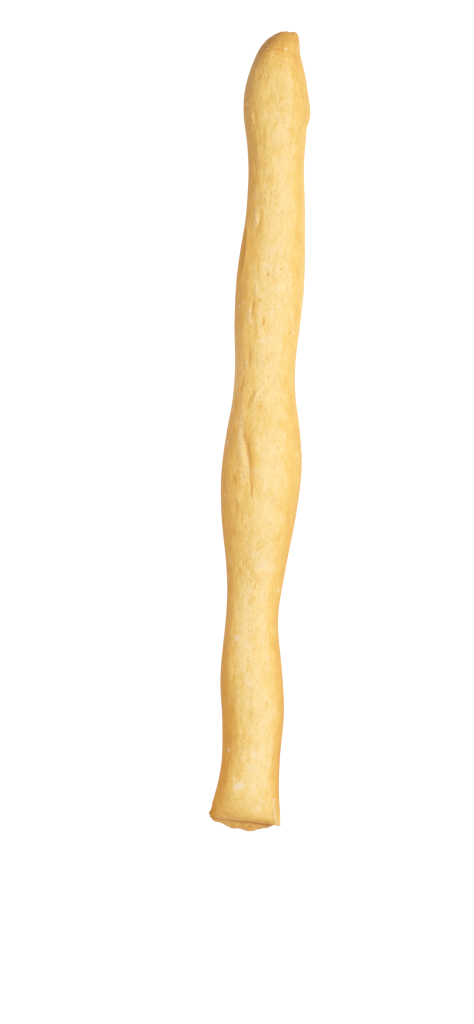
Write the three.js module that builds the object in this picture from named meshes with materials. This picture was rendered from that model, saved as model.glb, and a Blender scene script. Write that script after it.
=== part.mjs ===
// A hand-rolled breadstick, lying on the flat underside that it was baked on.
//
// Millimetres, +Z up. The stick runs along Y: its pinched knob points to +Y, and its chopped end to -Y.
// It is one piece of dough, so it is one closed solid. A sphere's two poles are drawn out to the ends of
// the stick, so each of the sphere's rings becomes one cross-section and each meridian one line of crust.
import * as THREE from "three";
import { mergeVertices } from "three/addons/utils/BufferGeometryUtils.js";

// ---------------------------------------------------------------- driving sizes
const LENGTH = 150; // tip of the knob to the edge of the lower lip
const TIP = LENGTH / 2;
const WIDEST_SHARE = 0.45; // a section is widest at this share of its height
const SAG = 1.2; // how far the dough sagged against the tray before it set, 1 being not at all
const FLOOR_BLEND = 0.5; // radius with which the sides run into the flat underside

// The dough's outline from above, as [along, across] at its swells, waists and the bends between them.
const leftEdge = smoothLine([
  [TIP, 1],
  [74.8, -0.35],
  [74.1, -1.75],
  [72.4, -3.35],
  [70, -4.68],
  [62, -6.52],
  [58.5, -6.36],
  [54, -5.48],
  [47, -4.93],
  [40, -5.05],
  [33, -5.9],
  [26, -6.37],
  [20, -6.33],
  [11.5, -5.8],
  [5.5, -6.02],
  [0, -6.8],
  [-9, -7.52],
  [-16, -7.12],
  [-25, -5.8],
  [-31.5, -5.31],
  [-46.5, -5.97],
  [-53.5, -5.27],
  [-61, -4.93],
  [-65, -5.33],
  [-68, -5.96],
  [-70, -6.4],
  [-71.6, -6.8],
  [-73.1, -6.85],
]);
const rightEdge = smoothLine([
  [TIP, 2.3],
  [74.8, 2.9],
  [74, 3.35],
  [71, 3.8],
  [67.5, 4.7],
  [59.8, 6.16],
  [57.2, 5.68],
  [51, 5.38],
  [40, 6.05],
  [28, 6.42],
  [20, 6],
  [12, 5.43],
  [7.5, 5.65],
  [1, 6.78],
  [-6.5, 7.54],
  [-13, 7.12],
  [-27.5, 5.07],
  [-34.5, 4.36],
  [-45, 5.62],
  [-52.5, 6.31],
  [-61, 5.9],
  [-66, 5.95],
  [-70, 6.29],
  [-73.1, 6.62],
]);
// The height of the crown, and how far the underside is off the tray, along the stick.
const crown = smoothLine([
  [TIP, 4.7],
  [74.8, 5.7],
  [74.1, 6.9],
  [71.8, 9.2],
  [66, 10.7],
  [60, 11.3],
  [48, 9.5],
  [27, 11.2],
  [12, 10.2],
  [-7.5, 13.1],
  [-34, 9.2],
  [-50, 10.7],
  [-60, 9.8],
  [-67, 9],
  [-70, 8.2],
  [-71.8, 7],
  [-72.7, 5.8],
  [-73.1, 4.5],
]);
const underside = smoothLine([
  [TIP, 3.9],
  [74.8, 3],
  [74.1, 2.1],
  [72.4, 0.95],
  [68, 0],
  [-71.5, 0],
  [-73.1, 0.5],
]);

// The chopped end. The blade pinched it to a mouth between two lips: the upper crust ends in a nearly
// straight lip, and the cut below it slopes out to a scalloped lower lip.
const LIP_START = -66; // where the round dough starts to run out into the mouth
const LIP = -73.1; // the upper lip, at the middle of the stick
const LIP_SLANT = -0.11; // it slants back by this much for each millimetre across
const CREASE_DEPTH = 1; // how far the cut is tucked in under the upper lip
const CREASE_HEIGHT = 0.84; // where the tuck is deepest, as a share of the mouth's height
const CREASE_REACH = 0.35; // how far down the cut the tuck runs out, as a share of that height
// How far the lower lip stands out beyond the upper one, across the mouth.
const lowerLipReach = smoothLine([
  [-6.8, 0],
  [-5.7, 0.95],
  [-4.4, 1.15],
  [-2.7, 1.75],
  [0.8, 1.81],
  [2.4, 1.25],
  [4, 0.92],
  [5.4, 0.12],
  [6.6, 0],
]);

// Furrows left by rolling, seen from above. Each runs from one [along, across] to another. Its left side
// is a gentle slope of the given width, and its right side is steep. Beyond the slope the dough may stand
// up in a roll, as high as the given share of the depth. A furrow of negative depth is a ridge.
const STEEPNESS = 1.8;
const ROLL_PLACE = 1.7; // widths of the slope, from the furrow to its roll
const FURROWS = [
  { from: [2, -3.5], to: [-8, -1.8], width: 1.5, depth: 0.6, roll: 0.5 }, // the long fold on the belly
  { from: [-5.5, -2.15], to: [-13.5, -1.35], width: 1, depth: 0.45, roll: 0 }, // its narrow tail
  { from: [41.5, -4.5], to: [25.5, -6.05], width: 0.9, depth: 0.75, roll: 0.08 }, // a fold low on the left
  { from: [-6, -5.1], to: [-17.5, -4.1], width: 1, depth: 0.24, roll: 0 },
  { from: [8.4, -1.8], to: [4.2, -3.4], width: 1, depth: 0.3, roll: 0 },
  { from: [7.6, -5.2], to: [2.2, -5.7], width: 0.9, depth: 0.32, roll: 0 },
  { from: [15.8, -3.4], to: [10.2, -3.25], width: 1, depth: 0.32, roll: 0.4 },
  { from: [26.5, -2.8], to: [19.5, -2.6], width: 1, depth: 0.28, roll: 0.5 },
  { from: [43.5, -2.05], to: [35.5, -3.1], width: 1, depth: 0.28, roll: 0 },
  { from: [50.5, -0.6], to: [44.5, -0.75], width: 1, depth: 0.22, roll: 0 },
  { from: [69.2, -3], to: [64.8, -4], width: 0.9, depth: 0.28, roll: 0 },
  { from: [61.5, -4.6], to: [55.5, -4.6], width: 1.1, depth: -0.24, roll: 0 },
];

// Broad unevenness from rolling by hand.
const RIPPLES = 9;
const RIPPLE_DEPTH = 0.08;
const RIPPLE_LENGTHS = [9, 30]; // shortest and longest, along the stick
const RIPPLE_SEED = 41;

// ---------------------------------------------------------------- how finely the sphere is divided
const AROUND = 46;
const CROWDING = 0.26; // draws the meridians together on the crown, where the folds are
const TIP_RINGS = 7;
const TIP_ROUND = 4.5; // the length of the rounded tip
const BODY_RINGS = 92;
const LIP_RINGS = 8;
const FACE_RINGS = [0.09, 0.18, 0.3, 0.5, 0.75, 1]; // shares of the way from the lips to the cut's middle
const RINGS = TIP_RINGS + BODY_RINGS + LIP_RINGS + FACE_RINGS.length;

// ---------------------------------------------------------------- small helpers
function clamp01(x) {
  return Math.min(1, Math.max(0, x));
}

function easeBetween(low, high, x) {
  const t = clamp01((x - low) / (high - low));
  return t * t * (3 - 2 * t);
}

function mix(a, b, t) {
  return a + (b - a) * t;
}

// A smooth line through [place, value] points that never swings past them: a monotone cubic.
function smoothLine(points) {
  const sorted = [...points].sort((a, b) => a[0] - b[0]);
  const rises = sorted.slice(1).map(([x, v], i) => (v - sorted[i][1]) / (x - sorted[i][0]));
  const slopes = sorted.map((_, i) => {
    const before = rises[Math.max(0, i - 1)];
    const after = rises[Math.min(rises.length - 1, i)];
    return before * after <= 0 ? 0 : (2 * before * after) / (before + after);
  });
  return (x) => {
    const next = sorted.findIndex(([place]) => place > x);
    const i = next < 0 ? rises.length - 1 : Math.max(0, next - 1);
    const [x0, v0] = sorted[i];
    const [x1, v1] = sorted[i + 1];
    const span = x1 - x0;
    const t = clamp01((x - x0) / span);
    return (
      v0 * (1 + 2 * t) * (1 - t) ** 2 +
      v1 * t * t * (3 - 2 * t) +
      span * t * (1 - t) * (slopes[i] * (1 - t) - slopes[i + 1] * t)
    );
  };
}

// The surface settles on the floor: exactly flat below it, and untouched well above it.
function settle(z, floor) {
  if (z > floor + FLOOR_BLEND) return z;
  if (z < floor - FLOOR_BLEND) return floor;
  return floor + (z - floor + FLOOR_BLEND) ** 2 / (4 * FLOOR_BLEND);
}

// A seeded source of numbers between 0 and 1.
function seededRandom(seed) {
  let state = seed;
  return () => {
    state = (state * 1664525 + 1013904223) % 4294967296;
    return state / 4294967296;
  };
}

// ---------------------------------------------------------------- the dough
// One cross-section: its middle, half width, height range and where it is widest.
function sectionAt(along) {
  const left = leftEdge(along);
  const right = rightEdge(along);
  const top = crown(along);
  const floor = underside(along);
  return {
    middle: (left + right) / 2,
    half: (right - left) / 2,
    top,
    floor,
    widest: mix(floor, top, WIDEST_SHARE),
    pinch: easeBetween(LIP_START, LIP, along), // 0 on the round dough, 1 at the lips
  };
}

// Where the angle `turn` meets a section, seen from the end. Turn 0 is the right side, and a quarter turn
// is the crown. The pinch draws the round section out into a lens with two sharp corners.
function sectionPoint(section, turn) {
  const rise = Math.sin(turn);
  const roundness = Math.abs(rise) ** (1 + section.pinch);
  const height =
    rise > 0
      ? section.widest + (section.top - section.widest) * roundness
      : settle(section.widest - (section.widest - section.floor) * SAG * roundness, section.floor);
  return { across: section.middle + section.half * Math.cos(turn), height };
}

// How deep one furrow is at a point of the crust. The distance to it is measured round the crust.
function furrowDepth({ from, to, width, depth, roll }, section, along, turn) {
  const share = (along - from[0]) / (to[0] - from[0]);
  if (share <= 0 || share >= 1) return 0;
  const lean = (mix(from[1], to[1], share) - section.middle) / section.half;
  const toLeft = section.half * (turn - Math.acos(Math.max(-1, lean)));
  const slope = toLeft > 0 ? width : width / STEEPNESS;
  const furrow = Math.exp(-((toLeft / slope) ** 2));
  const standing = Math.exp(-((toLeft / width - ROLL_PLACE) ** 2));
  return depth * Math.sin(Math.PI * share) ** 0.8 * (furrow - roll * standing);
}

const random = seededRandom(RIPPLE_SEED);
const ripples = Array.from({ length: RIPPLES }, (_, i) => ({
  along: (2 * Math.PI) / mix(RIPPLE_LENGTHS[0], RIPPLE_LENGTHS[1], random()),
  around: 1 + (i % 3),
  phase: 2 * Math.PI * random(),
}));

// The ripples leave the outline seen from above as it is.
function rippleHeight(along, turn) {
  const waves = ripples.map((r) => Math.sin(r.along * along + r.around * turn + r.phase));
  return RIPPLE_DEPTH * Math.abs(Math.sin(turn)) * waves.reduce((sum, wave) => sum + wave, 0);
}

// A point of the crust: the bare section, moved out or in along the line from the section's middle.
function crustPoint(along, turn) {
  const section = sectionAt(along);
  const { across, height } = sectionPoint(section, turn);
  const furrows = FURROWS.reduce((sum, f) => sum + furrowDepth(f, section, along, turn), 0);
  const ends = easeBetween(LIP, LIP_START, along) * easeBetween(TIP, TIP - TIP_ROUND, along);
  const clear = easeBetween(0.6, 2.5, height - section.floor); // keeps the underside flat
  const out = clear * (ends * rippleHeight(along, turn) - furrows);
  const radius = Math.hypot(across - section.middle, height - section.widest);
  const scale = 1 + out / Math.max(1, radius);
  return {
    across: section.middle + (across - section.middle) * scale,
    height: section.widest + (height - section.widest) * scale,
  };
}

// ---------------------------------------------------------------- the chopped end
function upperLip(across) {
  return LIP + LIP_SLANT * across;
}

function lowerLip(across) {
  return upperLip(across) - lowerLipReach(across);
}

// The cut between the lips, as a place along the stick, for a point of the mouth.
function cutFace(across, height, section) {
  const q = (across - section.middle) / section.half;
  const opening = Math.max(1e-6, 1 - q * q);
  const high = section.widest + (section.top - section.widest) * opening;
  const low = settle(section.widest - (section.widest - section.floor) * SAG * opening, section.floor);
  const share = clamp01((height - low) / (high - low));
  const tuck =
    share > CREASE_HEIGHT
      ? 1 - easeBetween(CREASE_HEIGHT, 1, share)
      : easeBetween(CREASE_REACH, CREASE_HEIGHT, share);
  return mix(lowerLip(across), upperLip(across), share) + CREASE_DEPTH * tuck * Math.sqrt(opening);
}

// ---------------------------------------------------------------- the rings, from the tip to the cut
function bodyRing(along, turn) {
  const { across, height } = crustPoint(along, turn);
  return new THREE.Vector3(across, along, height);
}

// The pole at the tip, where all meridians meet.
function tipPoint() {
  const { middle, widest } = sectionAt(TIP);
  return new THREE.Vector3(middle, TIP, widest);
}

// The rings crowd towards the mouth, and lean over to end on both of its lips.
function lipRing(share, turn) {
  const near = 1 - (1 - share) ** 1.7;
  const along = mix(LIP_START, LIP, near);
  const { across, height } = crustPoint(along, turn);
  const lip = Math.sin(turn) > 0 ? upperLip(across) : lowerLip(across);
  return new THREE.Vector3(across, along + (lip - LIP) * near ** 3, height);
}

function faceRing(share, turn) {
  const section = sectionAt(LIP);
  const rim = lipRing(1, turn);
  const across = mix(rim.x, section.middle, share);
  const height = mix(rim.z, (section.top + section.floor) / 2, share);
  return new THREE.Vector3(across, cutFace(across, height, section), height);
}

function stickPoint(ring, turn) {
  if (ring === 0) return tipPoint();
  if (ring <= TIP_RINGS) return bodyRing(TIP - TIP_ROUND * (ring / TIP_RINGS) ** 2, turn);
  const onBody = ring - TIP_RINGS;
  if (onBody <= BODY_RINGS) return bodyRing(mix(TIP - TIP_ROUND, LIP_START, onBody / BODY_RINGS), turn);
  const onLips = onBody - BODY_RINGS;
  if (onLips <= LIP_RINGS) return lipRing(onLips / LIP_RINGS, turn);
  return faceRing(FACE_RINGS[onLips - LIP_RINGS - 1], turn);
}

// ---------------------------------------------------------------- the solid
// u runs once round the sphere, from its left side over the crown. The meridians are crowded there.
function turnOf(u) {
  const fromCrown = 2 * (u > 0.75 ? u - 1.25 : u - 0.25); // -1 and 1 are both the middle of the underside
  return Math.PI * (0.5 - ((1 - CROWDING) * fromCrown + CROWDING * fromCrown ** 3));
}

function breadstickGeometry() {
  const ball = new THREE.SphereGeometry(1, AROUND, RINGS);
  const place = ball.getAttribute("position");
  for (let ring = 0; ring <= RINGS; ring += 1) {
    for (let i = 0; i <= AROUND; i += 1) {
      const point = stickPoint(ring, turnOf((i % AROUND) / AROUND));
      place.setXYZ(ring * (AROUND + 1) + i, point.x, point.y, point.z);
    }
  }
  ball.deleteAttribute("normal");
  ball.deleteAttribute("uv");
  const closed = mergeVertices(ball);
  closed.computeBoundingBox();
  const { min, max } = closed.boundingBox;
  closed.translate(-(min.x + max.x) / 2, -(min.y + max.y) / 2, -min.z); // it rests on z = 0
  closed.computeVertexNormals();
  return closed;
}

const crust = new THREE.MeshStandardMaterial({ color: 0xf0c985, roughness: 0.62, metalness: 0 });

const breadstick = new THREE.Mesh(breadstickGeometry(), crust);
breadstick.name = "breadstick";

const stick = new THREE.Group();
stick.add(breadstick);

export default stick;
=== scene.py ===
# %% [markdown]
# # A hand-rolled breadstick
#
# This lesson dresses one breadstick: a rope of dough, rolled by hand, baked dry on a tray and chopped to
# length at one end. It is a single piece of food, so the lesson is about three things: how to build one
# long uneven shape from cross-sections, how to fold and wrinkle its skin, and how to colour baked crust.
#
# A solid model of the stick is loaded first. It is never changed here. The crust is modelled over it, at
# the same sizes, and then stands in its place.

import math
from typing import NamedTuple

import bmesh
import bpy
import numpy as np
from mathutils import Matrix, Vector


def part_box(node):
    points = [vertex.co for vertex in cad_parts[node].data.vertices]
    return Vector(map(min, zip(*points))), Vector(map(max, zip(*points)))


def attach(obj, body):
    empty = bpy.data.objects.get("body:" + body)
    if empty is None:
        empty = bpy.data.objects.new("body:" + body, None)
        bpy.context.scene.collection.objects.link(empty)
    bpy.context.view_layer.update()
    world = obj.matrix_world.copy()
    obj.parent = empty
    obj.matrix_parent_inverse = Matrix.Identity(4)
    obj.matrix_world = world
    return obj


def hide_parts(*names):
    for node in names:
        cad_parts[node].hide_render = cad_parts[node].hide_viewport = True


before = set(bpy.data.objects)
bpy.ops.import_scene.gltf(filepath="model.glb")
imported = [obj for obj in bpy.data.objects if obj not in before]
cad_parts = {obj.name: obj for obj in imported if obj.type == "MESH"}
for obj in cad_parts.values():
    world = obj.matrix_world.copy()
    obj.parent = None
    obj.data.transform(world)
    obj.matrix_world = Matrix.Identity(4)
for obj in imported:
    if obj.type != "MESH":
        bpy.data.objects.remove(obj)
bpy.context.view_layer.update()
MM = 0.001
SOLID = "breadstick"
low_corner, high_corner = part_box(SOLID)
stick_size = high_corner - low_corner
print("solid stick, mm:", [round(side / MM, 2) for side in stick_size])

# %% [markdown]
# ## The camera
#
# The stick lies flat and is looked at from straight above. A long lens from well over a metre keeps both
# ends in true proportion: with a short one the raised middle would look wider than it is. The camera is
# placed from four plain facts: the picture's size, where the two ends of the stick are in it, how far the
# camera is, and how high the stick's two ends are. Everything else about it is worked out from those.

# %% Place the camera over the stick
PICTURE = (474, 1024)
TIP_PIXEL = (281.4, 31.6)  # counted from the picture's upper left corner
CHOPPED_PIXEL = (245.05, 831.8)
CAMERA_HEIGHT = 1500 * MM
ENDS_HEIGHT = 2 * MM
SENSOR = 36
NEAREST_SHOWN = 10 * MM
FURTHEST_SHOWN = 20

shift_across = TIP_PIXEL[0] - CHOPPED_PIXEL[0]
shift_up = CHOPPED_PIXEL[1] - TIP_PIXEL[1]
metres_per_pixel = stick_size.y / math.hypot(shift_across, shift_up)
stick_lean = math.atan2(shift_across, shift_up)
middle_right = PICTURE[0] / 2 - (TIP_PIXEL[0] + CHOPPED_PIXEL[0]) / 2
middle_up = (TIP_PIXEL[1] + CHOPPED_PIXEL[1]) / 2 - PICTURE[1] / 2
aim_x = middle_right * math.cos(stick_lean) - middle_up * math.sin(stick_lean)
aim_y = middle_right * math.sin(stick_lean) + middle_up * math.cos(stick_lean)

bpy.ops.object.select_all(action="DESELECT")
bpy.ops.object.camera_add(
    location=(aim_x * metres_per_pixel, aim_y * metres_per_pixel, CAMERA_HEIGHT),
    rotation=(0, 0, stick_lean),
)
camera = bpy.context.object
camera.name = "camera_above"
camera.data.sensor_width = SENSOR
camera.data.lens = SENSOR * (CAMERA_HEIGHT - ENDS_HEIGHT) / (PICTURE[1] * metres_per_pixel)
camera.data.clip_start = NEAREST_SHOWN
camera.data.clip_end = FURTHEST_SHOWN
bpy.context.scene.camera = camera
print("lens, mm:", round(camera.data.lens, 1), "lean, degrees:", round(math.degrees(stick_lean), 2))

# %% [markdown]
# ## Measuring the solid
#
# The crust has to be exactly as wide and as high as the solid at every place along the stick. The sure way
# is to slice the solid: wherever a triangle's edge crosses a plane, the crossing is a point of the section.
# The section's extremes are the four sizes that a ring of the crust needs.

# %% Slice the solid across
ACROSS, ALONG, UP = 0, 1, 2
BELLY = -8  # where along the stick it is thickest

solid_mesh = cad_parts[SOLID].data
solid_places = np.array([vertex.co for vertex in solid_mesh.vertices])
solid_edges = np.array([edge.vertices for edge in solid_mesh.edges])
edge_starts = solid_places[solid_edges[:, 0]]
edge_ends = solid_places[solid_edges[:, 1]]


def slice_solid(along):
    """The section at this place along the stick: left, right, floor and crown, in millimetres."""
    before = edge_starts[:, ALONG] - along * MM
    after = edge_ends[:, ALONG] - along * MM
    crossing = before * after < 0
    share = (before[crossing] / (before[crossing] - after[crossing]))[:, None]
    section = edge_starts[crossing] + share * (edge_ends[crossing] - edge_starts[crossing])
    low = section.min(0) / MM
    high = section.max(0) / MM
    return low[ACROSS], high[ACROSS], low[UP], high[UP]


print("section at the belly, mm:", [round(float(size), 2) for size in slice_solid(BELLY)])

# %% [markdown]
# ## The first ring
#
# Dough that lies on a tray is round above and flat below, like a D on its back. The cage of the crust
# starts as one such ring: a circle of twenty vertices, squashed, with its lowest vertices pressed flat.
# It is made two units wide and one unit high, so that scaling it by a section's sizes fits it exactly.
#
# The cage gets a Subdivision Surface later, which pulls a ring in a little. How much is known for a round
# ring, so each ring is made larger by that share.

# %% Helpers for modelling in edit mode
RING_VERTICES = 20
WIDEST = 0.45  # a section is widest at this share of its height
SAG = 0.54  # the lower half would reach this far down, if the tray weren't there
RING_PULL = (2 + math.cos(2 * math.pi / RING_VERTICES)) / 3  # what subdividing leaves of a ring's size
WIDTH_PULL = RING_PULL
HEIGHT_PULL = WIDEST + (1 - WIDEST) * RING_PULL


def edit_mesh():
    """The mesh that is being edited, with its vertices ready to be picked by number."""
    mesh = bmesh.from_edit_mesh(bpy.context.edit_object.data)
    mesh.verts.ensure_lookup_table()
    return mesh


def select_vertices(numbers):
    """Selects these vertices, and the edges and faces between them, and nothing else."""
    bpy.ops.mesh.select_all(action="DESELECT")
    mesh = edit_mesh()
    for number in numbers:
        mesh.verts[number].select = True
    mesh.select_flush_mode()


def selected_vertices():
    """The numbers of the selected vertices."""
    return [vertex.index for vertex in edit_mesh().verts if vertex.select]


def move_each(numbers, offset_of):
    """Moves vertices one by one, each by the offset in millimetres that offset_of gives for its place."""
    for number in numbers:
        place = edit_mesh().verts[number].co / MM
        offset = Vector(offset_of(place)) * MM
        if offset.length > 0:
            select_vertices([number])
            bpy.ops.transform.translate(value=offset)
    select_vertices(numbers)


print("subdividing leaves, as a share of the width:", round(WIDTH_PULL, 4))
print("and of the height:", round(HEIGHT_PULL, 4))

# %% Make the first ring, at the start of the round dough
FIRST_ALONG = -66.0

bpy.ops.object.select_all(action="DESELECT")
bpy.ops.mesh.primitive_circle_add(
    vertices=RING_VERTICES, radius=MM, location=(0, 0, 0), rotation=(math.pi / 2, 0, 0)
)
crust = bpy.context.object
crust.name = "breadstick_crust"
bpy.ops.object.transform_apply(location=True, rotation=True, scale=True)
bpy.ops.object.mode_set(mode="EDIT")
bpy.ops.mesh.select_mode(type="VERT")


def squash(place):
    """From a circle to the D: flatter above and below, and pressed flat where it meets the tray."""
    height = place.z * (1 - WIDEST if place.z > 0 else SAG)
    return 0, 0, max(height, -WIDEST) + WIDEST - place.z


move_each(range(RING_VERTICES), squash)
print("first ring has", len(selected_vertices()), "vertices")

# %% [markdown]
# ## From ring to ring
#
# A long uneven form is easiest to build as a carpenter builds a hull: one section after another. The ring
# is extruded to its next place along the stick, then scaled and shifted to the size of the solid's section
# there. Between two swells the dough changes slowly, so rings some two millimetres apart catch every swell,
# and the rings draw closer together towards the tip, where the form turns fast.


# %% Fit a ring to a section
def fit_ring(section, before, along):
    """Takes the selected ring from the section that it has to the one that it should have."""
    left, right, floor, top = section
    old_left, old_right, old_floor, old_top = before
    wider = (right - left) / (old_right - old_left)
    higher = (top - floor) / (old_top - old_floor)
    old_middle = (old_left + old_right) / 2
    bpy.ops.transform.resize(
        value=(wider, 1, higher), center_override=(old_middle * MM, along * MM, old_floor * MM)
    )
    shift = Vector(((left + right) / 2 - old_middle, 0, floor - old_floor))
    bpy.ops.transform.translate(value=shift * MM)


def swollen(section):
    """A section made larger by what the Subdivision Surface will pull in."""
    left, right, floor, top = section
    middle = (left + right) / 2
    half = (right - left) / 2 / WIDTH_PULL
    return middle - half, middle + half, floor, floor + (top - floor) / HEIGHT_PULL


def extrude_ring(along, section, before, before_along):
    """Extrudes the selected ring to its next place and fits it there."""
    bpy.ops.mesh.extrude_region_move(
        TRANSFORM_OT_translate={"value": (0, (along - before_along) * MM, 0)}
    )
    fit_ring(section, before, along)


# %% Build the dough from its waist at the chopped end up to the tip
UNIT_SECTION = (-1, 1, 0, 1)  # the first ring's own left, right, floor and top
RING_SPACING = 2.3
EVEN_RINGS_END = 70.5
TIP_RINGS = (71.6, 72.7, 73.6, 74.25, 74.7, 74.93)

bpy.ops.transform.translate(value=(0, FIRST_ALONG * MM, 0))
first_section = swollen(slice_solid(FIRST_ALONG))
fit_ring(first_section, UNIT_SECTION, FIRST_ALONG)
even_rings = np.arange(FIRST_ALONG + RING_SPACING, EVEN_RINGS_END, RING_SPACING)
section = first_section
along = FIRST_ALONG
for next_along in [float(place) for place in even_rings] + list(TIP_RINGS):
    next_section = swollen(slice_solid(next_along))
    extrude_ring(next_along, next_section, section, along)
    section = next_section
    along = next_along
bpy.ops.mesh.fill_grid(span=RING_VERTICES // 4)
print("rings up to the tip:", 1 + len(even_rings) + len(TIP_RINGS))

# %% [markdown]
# ## The chopped end
#
# At the other end a blade was pressed through the soft dough. It dragged the upper skin down, so the round
# rope runs out into a flat mouth with two sharp corners: the upper lip is nearly straight, the lower lip
# stands out below it in scallops, and between the two is the cut, which turned browner in the oven.
#
# The rings go on towards the mouth. Each is pinched a bit more than the last, from a D to a lens with
# sharp corners. Then every vertex of the last ring is set on its own lip.

# %% The mouth's own shape
LIP = -73.1  # the upper lip, about the middle of the stick
MOUTH = (-6.85, 6.75, 0.35, 4.6)  # left, right, floor and top at the lips
MOUTH_RINGS = (  # where a ring is along the stick, and how far it is pinched
    (-68.0, 0.12), (-69.7, 0.3), (-71.0, 0.55), (-72.0, 0.8), (-72.7, 0.93),
)
UPPER_LIP = (  # places across the mouth, and where the lip is along the stick at each
    (-6.9, -5.9, -3.8, -1.8, 0.7, 2.4, 4.1, 5.1, 6.5),
    (-72.2, -72.66, -72.8, -72.92, -72.86, -73.12, -73.34, -73.46, -73.55),
)
LOWER_LIP = (
    (-6.9, -6.4, -5.9, -5.3, -4.6, -3.5, -2.55, -1.8, -0.9, 0.0,
     0.5, 1.5, 2.4, 3.2, 4.1, 4.7, 5.2, 5.6, 6.35, 6.6),
    (-72.3, -72.9, -73.36, -73.45, -73.6, -74.13, -74.55, -74.5, -74.53, -74.8,
     -74.96, -74.86, -74.5, -74.3, -74.17, -73.9, -73.57, -73.5, -73.72, -73.4),
)


def upper_lip(across):
    """Where the upper lip is along the stick, for a place across it."""
    return np.interp(across, *UPPER_LIP)


def lower_lip(across):
    """Where the lower lip is along the stick, with its scallops."""
    return np.interp(across, *LOWER_LIP)


print("the cut runs out, mm in the middle:", round(float(upper_lip(0) - lower_lip(0)), 2))

# %% Draw a ring out into the mouth
LATENESS = 3  # the higher this power, the nearer to the mouth the lips take their own lines


def into_mouth(section, pinch, pinch_before):
    """An offset that draws a ring of this section further out into a lens, and leans it towards the lips."""
    left, right, floor, top = section
    widest = floor + WIDEST * (top - floor)

    def offset(place):
        lean = min(1.0, abs(2 * place.x - left - right) / (right - left))
        flatter = math.sqrt(1 - lean * lean) ** (pinch - pinch_before)
        lip = upper_lip(place.x) if place.z > widest else lower_lip(place.x)
        late = pinch**LATENESS - pinch_before**LATENESS
        return 0, (lip - LIP) * late, (place.z - widest) * (flatter - 1)

    return offset


# %% Run the dough out into the mouth
LIP_CREASE = 0.75  # how sharp the lips stay when they are subdivided, from 0 to 1

select_vertices(range(RING_VERTICES))
section = first_section
along = FIRST_ALONG
pinch_before = 0.0
for next_along, pinch in MOUTH_RINGS + ((LIP, 1.0),):
    sliced = MOUTH if next_along == LIP else slice_solid(next_along)
    next_section = swollen(sliced)
    extrude_ring(next_along, next_section, section, along)
    move_each(selected_vertices(), into_mouth(next_section, pinch, pinch_before))
    section = next_section
    along = next_along
    pinch_before = pinch
bpy.ops.transform.edge_crease(value=LIP_CREASE)
print("mouth, mm wide:", round(section[1] - section[0], 2))

# %% [markdown]
# The cut itself closes the mouth. It is not a flat lid: under the upper lip the soft crumb was dragged in,
# which leaves a dark crease there, and from the crease the cut slopes out to the lower lip. So the lips are
# extruded inwards in three smaller rings, each vertex of them is set on that slope, and the last ring is
# filled with a grid.

# %% Close the mouth with the cut
CUT_RINGS = (0.93, 0.8, 0.62)  # how large each ring of the cut is, as a share of the mouth
CREASE_DEPTH = 0.9  # how far the cut is tucked in under the upper lip
CREASE_HEIGHT = 0.84  # where it is tucked in most, as a share of the mouth's height
CREASE_REACH = 0.35  # how far down the tuck runs out
NARROWEST = 1e-6  # the mouth is never quite shut, so that its opening can divide


def ease(low, high, value):
    """0 below low, 1 above high, and a smooth rise between them."""
    share = min(1.0, max(0.0, (value - low) / (high - low)))
    return share * share * (3 - 2 * share)


def cut_along(across, height):
    """Where the cut is along the stick, for a place in the mouth."""
    left, right, floor, top = MOUTH
    widest = floor + WIDEST * (top - floor)
    lean = min(1.0, abs(2 * across - left - right) / (right - left))
    opening = max(NARROWEST, 1 - lean * lean)
    high = widest + (top - widest) * opening
    low = widest - (widest - floor) * opening
    share = min(1.0, max(0.0, (height - low) / (high - low)))
    if share > CREASE_HEIGHT:
        tuck = 1 - ease(CREASE_HEIGHT, 1, share)
    else:
        tuck = ease(CREASE_REACH, CREASE_HEIGHT, share)
    slope = lower_lip(across) + (upper_lip(across) - lower_lip(across)) * share
    return slope + CREASE_DEPTH * tuck * math.sqrt(opening)


def onto_cut(place):
    """The offset that sets a vertex on the cut."""
    return 0, cut_along(place.x, place.z) - place.y, 0


size_before = 1.0
mouth_middle = ((MOUTH[0] + MOUTH[1]) / 2 * MM, 0, (MOUTH[2] + MOUTH[3]) / 2 * MM)
for size in CUT_RINGS:
    bpy.ops.mesh.extrude_region_move(TRANSFORM_OT_translate={"value": (0, 0, 0)})
    smaller = size / size_before
    bpy.ops.transform.resize(value=(smaller, 1, smaller), center_override=mouth_middle)
    move_each(selected_vertices(), onto_cut)
    size_before = size
rim_count = len(edit_mesh().verts)
bpy.ops.mesh.fill_grid(span=RING_VERTICES // 4)
crumb = [vertex.index for vertex in edit_mesh().verts][rim_count:]
move_each(crumb, onto_cut)
bpy.ops.mesh.select_all(action="SELECT")
bpy.ops.mesh.normals_make_consistent(inside=False)
bpy.ops.object.mode_set(mode="OBJECT")
print("cage:", len(crust.data.vertices), "vertices,", len(crust.data.polygons), "faces")

# %% [markdown]
# ## From cage to skin
#
# A Subdivision Surface turns the cage into a smooth skin. It is applied at three levels, which puts a
# vertex every quarter of a millimetre: fine enough for folds and wrinkles that are real relief.

# %% Subdivide the cage
SKIN_LEVELS = 3

subdivide = crust.modifiers.new("skin", "SUBSURF")
subdivide.levels = SKIN_LEVELS
subdivide.render_levels = SKIN_LEVELS
bpy.ops.object.modifier_apply(modifier=subdivide.name)
bpy.ops.object.shade_smooth()


def skin():
    """Where the skin's vertices are, in millimetres, and which way the skin faces at each."""
    count = len(crust.data.vertices)
    places = np.empty(count * 3)
    crust.data.vertices.foreach_get("co", places)
    facings = np.empty(count * 3)
    crust.data.vertex_normals.foreach_get("vector", facings)
    return places.reshape(-1, 3) / MM, facings.reshape(-1, 3)


def smooth_step(low, high, values):
    """The same smooth rise as ease, for many values at once."""
    shares = np.clip((values - low) / (high - low), 0, 1)
    return shares * shares * (3 - 2 * shares)


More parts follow.
